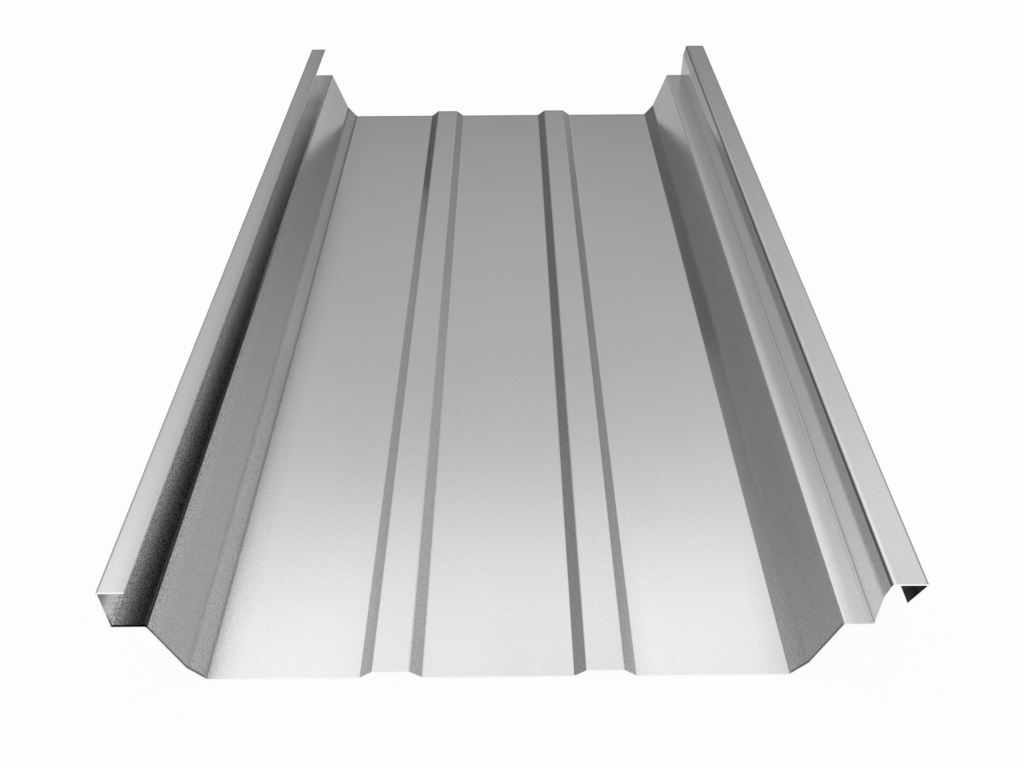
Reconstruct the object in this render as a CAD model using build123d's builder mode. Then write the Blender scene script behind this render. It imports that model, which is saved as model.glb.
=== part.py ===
from build123d import *
from math import atan2, cos, degrees, radians, sin, tan
import os

# Standing seam roof panel, one strip of coated steel rolled to its section.
# X runs across the panel, from the male seam to the female seam.
# Y runs along the slope of the roof, and Z points up from the pan.
# The origin lies on the underside of the pan, midway along it and across it.
# All sizes are in millimetres, and heights are taken from the underside of the pan.

# Strip
panel_length = 730.0
sheet_thickness = 1.2
bend_radius = 0.7  # inside radius of the sharp bends

# Module, from one seam line to the next once the panels are laid
cover_width = 406.4

# Two stiffening ribs in the pan, which fills the module between the sides
rib_spacing = 119.5
rib_base_width = 34.0
rib_top_width = 20.0
rib_height = 5.3

# Sides: a short bevel up from the pan, a steeper web, and a level ledge at the foot of the seam leg
bevel_run = 9.4
bevel_rise = 11.4
web_lean = 19.5  # degrees from upright
male_ledge_height = 48.0
male_ledge_width = 18.5
female_ledge_height = 45.5
female_ledge_width = 15.9

# Seam
seam_height = 78.0  # underside of the female flange
male_flange_width = 14.9
seam_clearance = 0.2  # between the male flange and the female flange above it
hook_clearance = 1.4  # between the edge of the male flange and the bend of the hook
clip_gap = 2.1  # room for the fixing clip between two joined seam legs
shoulder_height = 9.0
shoulder_radius = 12.0
lip_length = 15.8
lip_angle = 26.3  # degrees from upright, folded back under the flange

# Places worked out from the sizes above
male_web_run = (male_ledge_height - bevel_rise) * tan(radians(web_lean))
female_web_run = (female_ledge_height - bevel_rise) * tan(radians(web_lean))
male_side = bevel_run + male_web_run + male_ledge_width
female_side = bevel_run + female_web_run + female_ledge_width + clip_gap
pan_edge = (cover_width - male_side - female_side) / 2
bevel_edge = pan_edge + bevel_run
male_web_edge = bevel_edge + male_web_run
male_leg = male_web_edge + male_ledge_width
male_height = seam_height - seam_clearance
female_web_edge = bevel_edge + female_web_run
female_leg = female_web_edge + female_ledge_width
seam_line = female_leg + clip_gap  # where the next panel's male leg stands
hook_corner = seam_line + male_flange_width + bend_radius + hook_clearance
lip_edge = hook_corner - lip_length * sin(radians(lip_angle))
lip_bottom = seam_height - lip_length * cos(radians(lip_angle))

# Lower face of the strip, as straight runs between bends.
# The male flange folds inwards, so this face is its top, and the female seam covers it.
male_seam = [
    (male_flange_width - male_leg, male_height),
    (-male_leg, male_height),
    (-male_leg, male_ledge_height),
    (-male_web_edge, male_ledge_height),
    (-bevel_edge, bevel_rise),
    (-pan_edge, 0),
]
ribs = [
    (centre + side, height)
    for centre in (-rib_spacing / 2, rib_spacing / 2)
    for side, height in (
        (-rib_base_width / 2, 0),
        (-rib_top_width / 2, rib_height),
        (rib_top_width / 2, rib_height),
        (rib_base_width / 2, 0),
    )
]
female_seam = [
    (pan_edge, 0),
    (bevel_edge, bevel_rise),
    (female_web_edge, female_ledge_height),
    (female_leg, female_ledge_height),
    (female_leg, seam_height - shoulder_height),
    (seam_line, seam_height),
    (hook_corner, seam_height),
    (lip_edge, lip_bottom),
]
lower_face = male_seam + ribs + female_seam
shoulder_corner = (female_leg, seam_height - shoulder_height)


def lower_radius(before, corner, after):
    """Radius of the lower face at a bend, which is inside the bend only where the strip turns down."""
    if corner == shoulder_corner:
        return shoulder_radius
    heading_in = degrees(atan2(corner[1] - before[1], corner[0] - before[0]))
    heading_out = degrees(atan2(after[1] - corner[1], after[0] - corner[0]))
    turn = (heading_out - heading_in + 180) % 360 - 180
    return bend_radius + sheet_thickness if turn > 0 else bend_radius


bends = zip(lower_face, lower_face[1:], lower_face[2:])
radii = [lower_radius(*bend) for bend in bends]

with BuildPart() as roof_panel:
    with BuildSketch(Plane.XZ) as section:
        with BuildLine():
            FilletPolyline(*lower_face, radius=radii)
            offset(amount=sheet_thickness, side=Side.LEFT)
        make_face()
    extrude(amount=panel_length / 2, both=True)

roof_panel.part.label = "roof_panel"

os.makedirs("parts", exist_ok=True)
export_step(roof_panel.part, "parts/roof_panel.step")
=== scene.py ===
from math import cos, pi, radians, sin, tan

import bpy
from mathutils import Matrix, Vector


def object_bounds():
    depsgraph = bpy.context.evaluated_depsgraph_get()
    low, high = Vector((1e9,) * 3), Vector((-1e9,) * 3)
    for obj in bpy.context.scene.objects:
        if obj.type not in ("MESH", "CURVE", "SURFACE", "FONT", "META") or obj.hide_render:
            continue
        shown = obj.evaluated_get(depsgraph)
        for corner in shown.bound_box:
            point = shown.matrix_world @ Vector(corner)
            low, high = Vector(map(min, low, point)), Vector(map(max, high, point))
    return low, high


# A standing seam roof panel of bare zinc-coated steel, seen from in front and above.
# Metres. X runs across the panel, Y along it to the back, and the floor is at Z = 0.

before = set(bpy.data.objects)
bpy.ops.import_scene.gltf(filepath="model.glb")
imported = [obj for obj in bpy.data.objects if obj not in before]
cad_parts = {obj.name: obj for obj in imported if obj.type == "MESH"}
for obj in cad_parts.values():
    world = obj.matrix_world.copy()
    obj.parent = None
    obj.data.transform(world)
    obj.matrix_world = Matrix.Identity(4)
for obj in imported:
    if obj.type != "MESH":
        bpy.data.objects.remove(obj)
cad_low, cad_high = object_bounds()
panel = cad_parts["roof_panel"]
panel_half_length = cad_high.y


# Camera

camera_place = (0.0077, -0.6789, 0.4750)
camera_down = 39.808  # degrees below level
camera_right = 0.180  # degrees to the right of straight along the panel
camera_roll = -0.331
lens_length = 34.33  # millimetres
sensor_width = 36


def set_camera():
    data = bpy.data.cameras.new("camera")
    data.sensor_width = sensor_width
    data.lens = lens_length
    camera = bpy.data.objects.new("camera", data)
    bpy.context.scene.collection.objects.link(camera)
    turn = Matrix.Rotation(radians(-camera_right), 4, "Z")
    tip = Matrix.Rotation(radians(90 - camera_down), 4, "X")
    roll = Matrix.Rotation(radians(camera_roll), 4, "Z")
    camera.matrix_world = Matrix.Translation(camera_place) @ turn @ tip @ roll
    bpy.context.scene.camera = camera


# Nodes that the studio and the metal share

def calculate(tree, operation, first, second=0.0, third=0.0):
    """A math node on up to three inputs, each of them a number or another node's output."""
    node = tree.nodes.new("ShaderNodeMath")
    node.operation = operation
    for socket, given in zip(node.inputs, (first, second, third)):
        if isinstance(given, float):
            socket.default_value = given
        else:
            tree.links.new(given, socket)
    return node.outputs["Value"]


def calculate_vector(tree, operation, first, second, third=(0, 0, 0)):
    """The same for vectors."""
    node = tree.nodes.new("ShaderNodeVectorMath")
    node.operation = operation
    for socket, given in zip(node.inputs, (first, second, third)):
        if isinstance(given, tuple):
            socket.default_value = given
        else:
            tree.links.new(given, socket)
    return node.outputs["Value" if operation in ("DISTANCE", "DOT_PRODUCT") else "Vector"]


def split(tree, vector):
    """The X, Y and Z of a vector, by those names."""
    node = tree.nodes.new("ShaderNodeSeparateXYZ")
    tree.links.new(vector, node.inputs["Vector"])
    return node.outputs


def shift_range(tree, value, start, end, low=0.0, high=1.0):
    """Carries start to low and end to high, and holds what lies beyond them."""
    node = tree.nodes.new("ShaderNodeMapRange")
    node.inputs["From Min"].default_value = start
    node.inputs["From Max"].default_value = end
    node.inputs["To Min"].default_value = low
    node.inputs["To Max"].default_value = high
    tree.links.new(value, node.inputs["Value"])
    return node.outputs["Result"]


# Studio: a white floor and walls, a ceiling that brightens overhead, and large soft lamps that fade to
# their rims. The metal takes only a share of the white that it would mirror from low down.

wall_seen = 1.0  # share of the walls' white, to the camera and through glass
wall_in_metal = 0.12
ceiling_slope = 0.57  # grows with the sine of the height above the horizon
ceiling_glow = 0.46  # grows with its fourth power
floor_size = 40.0
floor_gap = 0.0003  # keeps the floor clear of the pan that lies on it
floor_paper = (0.55, 0.55, 0.55)
floor_seen = 0.97  # share of the floor's white, to the camera and through glass
floor_in_metal = (0.95, 0.3)  # before the panel and behind it
floor_turns = (-0.37, -0.10)  # in Y, where the one passes into the other

# Lamps: the bearing clockwise from the back, the height, half the width and half the depth, all in degrees,
# and the brightness
lamp_distance = 3.0
lamps = {
    "back_lamp": (4, 46, 46, 36, 0.189),
    "low_back_lamp": (0, 30, 35, 15, 0.084),
    "top_lamp": (-9, 60, 46, 15, 0.66),
    "left_lamp": (-71, 43, 46, 32, 0.554),
    "right_lamp": (57, 28, 38, 36, 0.634),
}


def soft_lamp(name, bearing, height, half_width, half_depth, brightness):
    """A lamp that faces the panel."""
    outward = Vector((sin(radians(bearing)) * cos(radians(height)),
                      cos(radians(bearing)) * cos(radians(height)),
                      sin(radians(height))))
    data = bpy.data.lights.new(name, "AREA")
    data.shape = "RECTANGLE"
    data.size = 2 * lamp_distance * tan(radians(half_width))
    data.size_y = 2 * lamp_distance * tan(radians(half_depth))
    data.energy = brightness * pi * data.size * data.size_y
    fade_to_rim(data)
    lamp = bpy.data.objects.new(name, data)
    bpy.context.scene.collection.objects.link(lamp)
    lamp.location = outward * lamp_distance
    lamp.rotation_euler = (-outward).to_track_quat("-Z", "Y").to_euler()


def fade_to_rim(lamp_data):
    """Full brightness in the middle of the cloth and none at its rim: (1 - x^2)^2 (1 - y^2)^2."""
    lamp_data.use_nodes = True
    tree = lamp_data.node_tree
    cloth = tree.nodes.new("ShaderNodeNewGeometry")
    from_middle = calculate_vector(tree, "MULTIPLY_ADD", cloth.outputs["Parametric"],
                                   (2, 2, 2), (-1, -1, -1))
    squared = calculate_vector(tree, "MULTIPLY", from_middle, from_middle)
    left = calculate_vector(tree, "SUBTRACT", (1, 1, 1), squared)
    softened = split(tree, calculate_vector(tree, "MULTIPLY", left, left))
    strength = calculate(tree, "MULTIPLY", softened["X"], softened["Y"])
    tree.links.new(strength, tree.nodes["Emission"].inputs["Strength"])


def share_of_white(tree, seen_share, metal_share):
    """How much of its white a surface of the studio gives to the camera and glass, and to the metal."""
    rays = tree.nodes.new("ShaderNodeLightPath")
    seen = calculate(tree, "MAXIMUM", rays.outputs["Is Camera Ray"], rays.outputs["Is Transmission Ray"])
    seen = calculate(tree, "MULTIPLY", seen, seen_share)
    in_metal = calculate(tree, "MULTIPLY", rays.outputs["Is Glossy Ray"], metal_share)
    return calculate(tree, "MAXIMUM", seen, in_metal)


def set_room():
    world = bpy.data.worlds.new("room")
    world.use_nodes = True
    tree = world.node_tree
    background = tree.nodes["Background"]
    background.inputs["Color"].default_value = (1, 1, 1, 1)
    direction = tree.nodes.new("ShaderNodeTexCoord")
    height = calculate(tree, "MAXIMUM", split(tree, direction.outputs["Generated"])["Z"])
    fourth = calculate(tree, "POWER", height, 4.0)
    walls = share_of_white(tree, wall_seen, wall_in_metal)
    room = calculate(tree, "MULTIPLY_ADD", height, ceiling_slope, walls)
    room = calculate(tree, "MULTIPLY_ADD", fourth, ceiling_glow, room)
    tree.links.new(room, background.inputs["Strength"])
    bpy.context.scene.world = world


def white_floor():
    """Reads as white to the camera and in the metal, and keeps a soft share of the panel's shadow."""
    material = bpy.data.materials.new("white_floor")
    material.use_nodes = True
    tree = material.node_tree
    tree.nodes.clear()
    paper = tree.nodes.new("ShaderNodeBsdfDiffuse")
    paper.inputs["Color"].default_value = (*floor_paper, 1)
    glow = tree.nodes.new("ShaderNodeEmission")
    glow.inputs["Color"].default_value = (1, 1, 1, 1)
    glow.inputs["Strength"].default_value = 1.0
    place = tree.nodes.new("ShaderNodeTexCoord")
    along = split(tree, place.outputs["Object"])["Y"]
    in_metal = shift_range(tree, along, *floor_turns, *floor_in_metal)
    mix = tree.nodes.new("ShaderNodeMixShader")
    tree.links.new(share_of_white(tree, floor_seen, in_metal), mix.inputs["Fac"])
    tree.links.new(paper.outputs["BSDF"], mix.inputs[1])
    tree.links.new(glow.outputs["Emission"], mix.inputs[2])
    output = tree.nodes.new("ShaderNodeOutputMaterial")
    tree.links.new(mix.outputs["Shader"], output.inputs["Surface"])
    return material


def set_studio():
    set_room()
    bpy.context.scene.view_settings.view_transform = "Standard"
    for name, lamp in lamps.items():
        soft_lamp(name, *lamp)
    bpy.ops.mesh.primitive_plane_add(size=floor_size, location=(0, 0, -floor_gap))
    floor = bpy.context.active_object
    floor.name = "floor"
    floor.data.materials.append(white_floor())


# Metal. Places in the section are X and Z, and scales count specks to the metre.

steel_colour = (0.565, 0.565, 0.57)
speckle_colour = (0.53, 0.53, 0.534)
speckle_scale = 900
speckle_turns = (0.4, 0.6)  # noise at which one colour passes into the other

grain_scale = 1100
grain_depth = 0.0001
grain_strength = 0.35

slope_turns = (0.97, 0.85)  # upright part of a face's normal, where it starts to count as sloped and in full
sloped_painted_light = 1.10  # painted light: the sloped faces are made lighter
fleck_scale = 1000
fleck_turns = (0.42, 0.58)
fleck_tone = 0.84  # of the dark flecks on those faces

satin_roughness = (0.18, 0.22)
drift_scale = (14, 2.5, 14)  # drawn out along the strip
drift_turns = (0.3, 0.7)

# Bends that the rolls left dull: X, Z, the distances from there at which this starts and stops to fade, and
# the roughness added
dull_bends = (
    (-0.2046, 0.0772, 0.0012, 0.0020, 0.35),  # outer bend of the male flange
    (0.1992, 0.0467, 0.0006, 0.0016, 0.13),  # foot of the female leg
)

# Painted light and shade, lighter or darker where light or shade falls on the section: X, Z, the two
# distances, and the tone that the colour is multiplied by
painted_light_marks = (
    (-0.1625, 0.0012, 0.0004, 0.0007, 0.50),  # foot of the male bevel
    (-0.2027, 0.0620, 0.0120, 0.0200, 1.72),  # inside of the male leg
    (-0.2046, 0.0772, 0.0012, 0.0020, 2.30),  # outer bend of the male flange
    (-0.1667, 0.0065, 0.0039, 0.0065, 1.36),  # male bevel
    (-0.1778, 0.0305, 0.0170, 0.0230, 1.10),  # male web
    (-0.1838, 0.0465, 0.0020, 0.0110, 1.16),  # top of the male web
    (-0.2040, 0.0778, 0.0020, 0.0150, 0.80),  # male flange, towards its outer bend
    (-0.1940, 0.0778, 0.0120, 0.0160, 0.94),  # male flange
    (-0.0737, 0.0038, 0.0033, 0.0055, 0.93),  # first rib's left side
    (0.0459, 0.0038, 0.0033, 0.0055, 0.76),  # second rib's left side
    (0.1667, 0.0065, 0.0039, 0.0065, 0.87),  # female bevel
    (0.1910, 0.0467, 0.0051, 0.0085, 1.10),  # female ledge
    (0.1995, 0.0476, 0.0004, 0.0010, 1.18),  # foot of the female leg
    (0.1992, 0.0580, 0.0066, 0.0110, 1.15),  # female leg
    (0.2010, 0.0776, 0.0005, 0.0012, 0.27),  # top of the shoulder
    (0.2027, 0.0792, 0.0004, 0.0014, 1.15),  # inner edge of the female flange
    (0.2213, 0.0792, 0.0018, 0.0030, 0.62),  # outer bend of the hook
)

# Painted light and shade that fades out along the strip: as above, then the Y at which each is full and at
# which it is gone
fading_painted_light = (
    (-0.1846, 0.0492, 0.0008, 0.0014, 0.25, -0.10, 0.05),  # sharp edge of the male ledge
    (-0.1940, 0.0492, 0.0096, 0.0120, 1.20, 0.33, 0.18),  # male ledge, back
    (-0.1940, 0.0778, 0.0120, 0.0160, 0.92, -0.30, 0.00),  # male flange, front
    (-0.1778, 0.0305, 0.0170, 0.0230, 0.84, 0.33, 0.22),  # male web, back
    (-0.1667, 0.0065, 0.0039, 0.0065, 1.38, 0.33, 0.05),  # male bevel, back
    (-0.1180, 0.0012, 0.0300, 0.0440, 1.06, -0.36, -0.24),  # pan beside the male bevel, front
    (-0.0737, 0.0038, 0.0033, 0.0055, 0.48, 0.33, 0.05),  # first rib's left side, back
    (-0.0459, 0.0038, 0.0033, 0.0055, 1.30, 0.25, 0.05),  # first rib's right side, back
    (-0.0459, 0.0038, 0.0033, 0.0055, 0.85, -0.20, 0.00),  # first rib's right side, front
    (0.0459, 0.0038, 0.0033, 0.0055, 1.26, -0.33, -0.10),  # second rib's left side, front
    (0.0737, 0.0038, 0.0033, 0.0055, 1.50, 0.30, 0.10),  # second rib's right side, back
    (0.1180, 0.0012, 0.0300, 0.0440, 1.17, -0.36, -0.24),  # pan beside the female bevel, front
    (0.1667, 0.0065, 0.0039, 0.0065, 1.20, -0.33, -0.20),  # female bevel, front
    (0.1837, 0.0467, 0.0004, 0.0012, 1.45, 0.33, 0.15),  # sharp edge of the female ledge, back
    (0.1995, 0.0476, 0.0004, 0.0010, 1.35, -0.33, 0.00),  # foot of the female leg, front
    (0.2000, 0.0750, 0.0040, 0.0070, 0.66, 0.30, 0.10),  # shoulder, back
    (0.2120, 0.0792, 0.0090, 0.0110, 0.93, -0.25, -0.05),  # female flange, front
)

# Painted shade in flecks, where dark flecks darken a place more than elsewhere: X, Z, the two distances and
# the tone of the flecks
flecked_shade_marks = (
    (-0.1940, 0.0492, 0.0096, 0.0160, 0.62),  # male ledge
    (-0.1560, 0.0012, 0.0072, 0.0120, 0.93),  # pan beside the male bevel
)

# The male ledge is dark in the shelter of its flange, and more so towards its free edge
ledge_tone = 0.78
ledge_edge_tone = 0.29
ledge_span = (0.0484, 0.0530)  # heights that hold the ledge alone
ledge_edge = -0.1842
ledge_turns = (-0.1985, -0.1880)  # in X, where the darker tone starts and is full
ledge_fade = (0.28, -0.15)  # in Y, where it has gone and where it is full

# Inside of the hook, which no light reaches
hook_tone = 0.12
hook_start = 0.2035
hook_top = 0.0786
lip_slant = (0.8965, 0, -0.4431)  # square to the lip, outwards
lip_reach = 0.1628  # of the middle of the lip, along that direction

# Painted shade along the strip's ends, dark on the raised sides and the ledge at the front and a little at
# the back, and the bare cuts, painted near white as a highlight
front_shade_width = 0.0013
front_shade_tone = 0.45
sides_start = 0.1635  # beyond this the strip rises from the pan
webs_top = 0.0455
ledge_front_shade = (-0.1940, 0.0492, 0.0090, 0.0150)  # X, Z and the two distances
ledge_front_shade_tone = 0.05
back_shade_width = 0.0030
back_shade_tone = 0.82
cut_highlight_colour = (0.98, 0.98, 0.98)
cut_depth = 0.00002


def speckle(tree, place, scale, detail):
    node = tree.nodes.new("ShaderNodeTexNoise")
    node.inputs["Scale"].default_value = scale
    node.inputs["Detail"].default_value = detail
    tree.links.new(place, node.inputs["Vector"])
    return node.outputs["Fac"]


def tone_down(tree, colour, where, tone):
    """Multiplies a colour by a tone where the mask is one."""
    node = tree.nodes.new("ShaderNodeMix")
    node.data_type = "RGBA"
    node.blend_type = "MULTIPLY"
    node.inputs["B"].default_value = (tone, tone, tone, 1)
    tree.links.new(where, node.inputs["Factor"])
    tree.links.new(colour, node.inputs["A"])
    return node.outputs["Result"]


def mix_colours(tree, where, first, second):
    """The first colour where the mask is none and the second where it is one."""
    node = tree.nodes.new("ShaderNodeMix")
    node.data_type = "RGBA"
    tree.links.new(where, node.inputs["Factor"])
    for name, given in (("A", first), ("B", second)):
        if isinstance(given, tuple):
            node.inputs[name].default_value = (*given, 1)
        else:
            tree.links.new(given, node.inputs[name])
    return node.outputs["Result"]


def where_all(tree, first, *others):
    """One where every mask is one."""
    for other in others:
        first = calculate(tree, "MULTIPLY", first, other)
    return first


def near(tree, section, x, z, inner, outer):
    """One close to a place in the section, falling to none between two distances from it."""
    return shift_range(tree, calculate_vector(tree, "DISTANCE", section, (x, 0, z)), outer, inner)


def coated_grain(tree, place):
    """Grain of the coating, under a millimetre across, that tips the shine."""
    bump = tree.nodes.new("ShaderNodeBump")
    bump.inputs["Strength"].default_value = grain_strength
    bump.inputs["Distance"].default_value = grain_depth
    tree.links.new(speckle(tree, place, grain_scale, detail=1), bump.inputs["Height"])
    return bump.outputs["Normal"]


def satin(tree, place, section):
    """Slow drifts in the roughness, and duller bends."""
    drawn = tree.nodes.new("ShaderNodeMapping")
    drawn.inputs["Scale"].default_value = drift_scale
    tree.links.new(place, drawn.inputs["Vector"])
    drift = speckle(tree, drawn.outputs["Vector"], scale=1, detail=3)
    roughness = shift_range(tree, drift, *drift_turns, *satin_roughness)
    for *bend, added in dull_bends:
        dull = calculate(tree, "MULTIPLY", near(tree, section, *bend), added)
        roughness = calculate(tree, "ADD", roughness, dull)
    return roughness


def mark_slopes(tree, colour, normal, flecks):
    """Sloped faces get painted light, a lighter colour, and dark flecks."""
    lean = calculate(tree, "ABSOLUTE", split(tree, normal)["Z"])
    sloped = shift_range(tree, lean, *slope_turns)
    colour = tone_down(tree, colour, sloped, sloped_painted_light)
    return tone_down(tree, colour, where_all(tree, sloped, flecks), fleck_tone)


# Paints light and shade: the colour is multiplied by each mark's tone, some fading out along the strip, some
# in dark flecks
def paint_light_marks(tree, colour, section, along, flecks):
    for *mark, tone in painted_light_marks:
        colour = tone_down(tree, colour, near(tree, section, *mark), tone)
    for *mark, tone, full, gone in fading_painted_light:
        left = shift_range(tree, along, gone, full)
        colour = tone_down(tree, colour, where_all(tree, near(tree, section, *mark), left), tone)
    for *mark, tone in flecked_shade_marks:
        colour = tone_down(tree, colour, where_all(tree, near(tree, section, *mark), flecks), tone)
    return colour


def shade_male_ledge(tree, colour, across, along, up):
    bottom, top = ledge_span
    ledge = where_all(tree, calculate(tree, "GREATER_THAN", up, bottom),
                      calculate(tree, "LESS_THAN", up, top),
                      calculate(tree, "LESS_THAN", across, ledge_edge))
    colour = tone_down(tree, colour, ledge, ledge_tone)
    edge = where_all(tree, ledge, shift_range(tree, across, *ledge_turns),
                     shift_range(tree, along, *ledge_fade))
    return tone_down(tree, colour, edge, ledge_edge_tone)


def shade_hook(tree, colour, section, across, up):
    slant = calculate_vector(tree, "DOT_PRODUCT", section, lip_slant)
    inside = where_all(tree, calculate(tree, "LESS_THAN", slant, lip_reach),
                       calculate(tree, "GREATER_THAN", across, hook_start),
                       calculate(tree, "LESS_THAN", up, hook_top))
    return tone_down(tree, colour, inside, hook_tone)


# Painted shade at the strip's ends, and the bare cuts painted near white as a highlight
def mark_ends(tree, colour, section, across, along, up):
    back = calculate(tree, "GREATER_THAN", along, panel_half_length - back_shade_width)
    colour = tone_down(tree, colour, back, back_shade_tone)
    front = calculate(tree, "LESS_THAN", along, front_shade_width - panel_half_length)
    raised = calculate(tree, "GREATER_THAN", calculate(tree, "ABSOLUTE", across), sides_start)
    low = calculate(tree, "LESS_THAN", up, webs_top)
    colour = tone_down(tree, colour, where_all(tree, front, raised, low), front_shade_tone)
    ledge = near(tree, section, *ledge_front_shade)
    colour = tone_down(tree, colour, where_all(tree, front, ledge), ledge_front_shade_tone)
    from_middle = calculate(tree, "ABSOLUTE", along)
    cut = calculate(tree, "GREATER_THAN", from_middle, panel_half_length - cut_depth)
    return mix_colours(tree, cut, colour, cut_highlight_colour)


def zinc_coated_steel():
    """Satin coated sheet: a fine grain, faint drifts along the rolling, painted light and shade in many
    places, and sheared ends with painted shade and cuts painted bright as a highlight.
    """
    material = bpy.data.materials.new("zinc_coated_steel")
    material.use_nodes = True
    tree = material.node_tree
    texture = tree.nodes.new("ShaderNodeTexCoord")
    place = texture.outputs["Object"]
    across, along, up = split(tree, place)
    section = calculate_vector(tree, "MULTIPLY", place, (1, 0, 1))
    specks = shift_range(tree, speckle(tree, place, speckle_scale, detail=2), *speckle_turns)
    flecks = shift_range(tree, speckle(tree, place, fleck_scale, detail=2), *fleck_turns)

    colour = mix_colours(tree, specks, steel_colour, speckle_colour)
    colour = mark_slopes(tree, colour, texture.outputs["Normal"], flecks)
    colour = paint_light_marks(tree, colour, section, along, flecks)
    colour = shade_male_ledge(tree, colour, across, along, up)
    colour = shade_hook(tree, colour, section, across, up)
    colour = mark_ends(tree, colour, section, across, along, up)

    metal = tree.nodes["Principled BSDF"]
    metal.inputs["Metallic"].default_value = 1.0
    tree.links.new(colour, metal.inputs["Base Color"])
    tree.links.new(satin(tree, place, section), metal.inputs["Roughness"])
    tree.links.new(coated_grain(tree, place), metal.inputs["Normal"])
    return material


set_camera()
set_studio()
panel.material_slots[0].material = zinc_coated_steel()
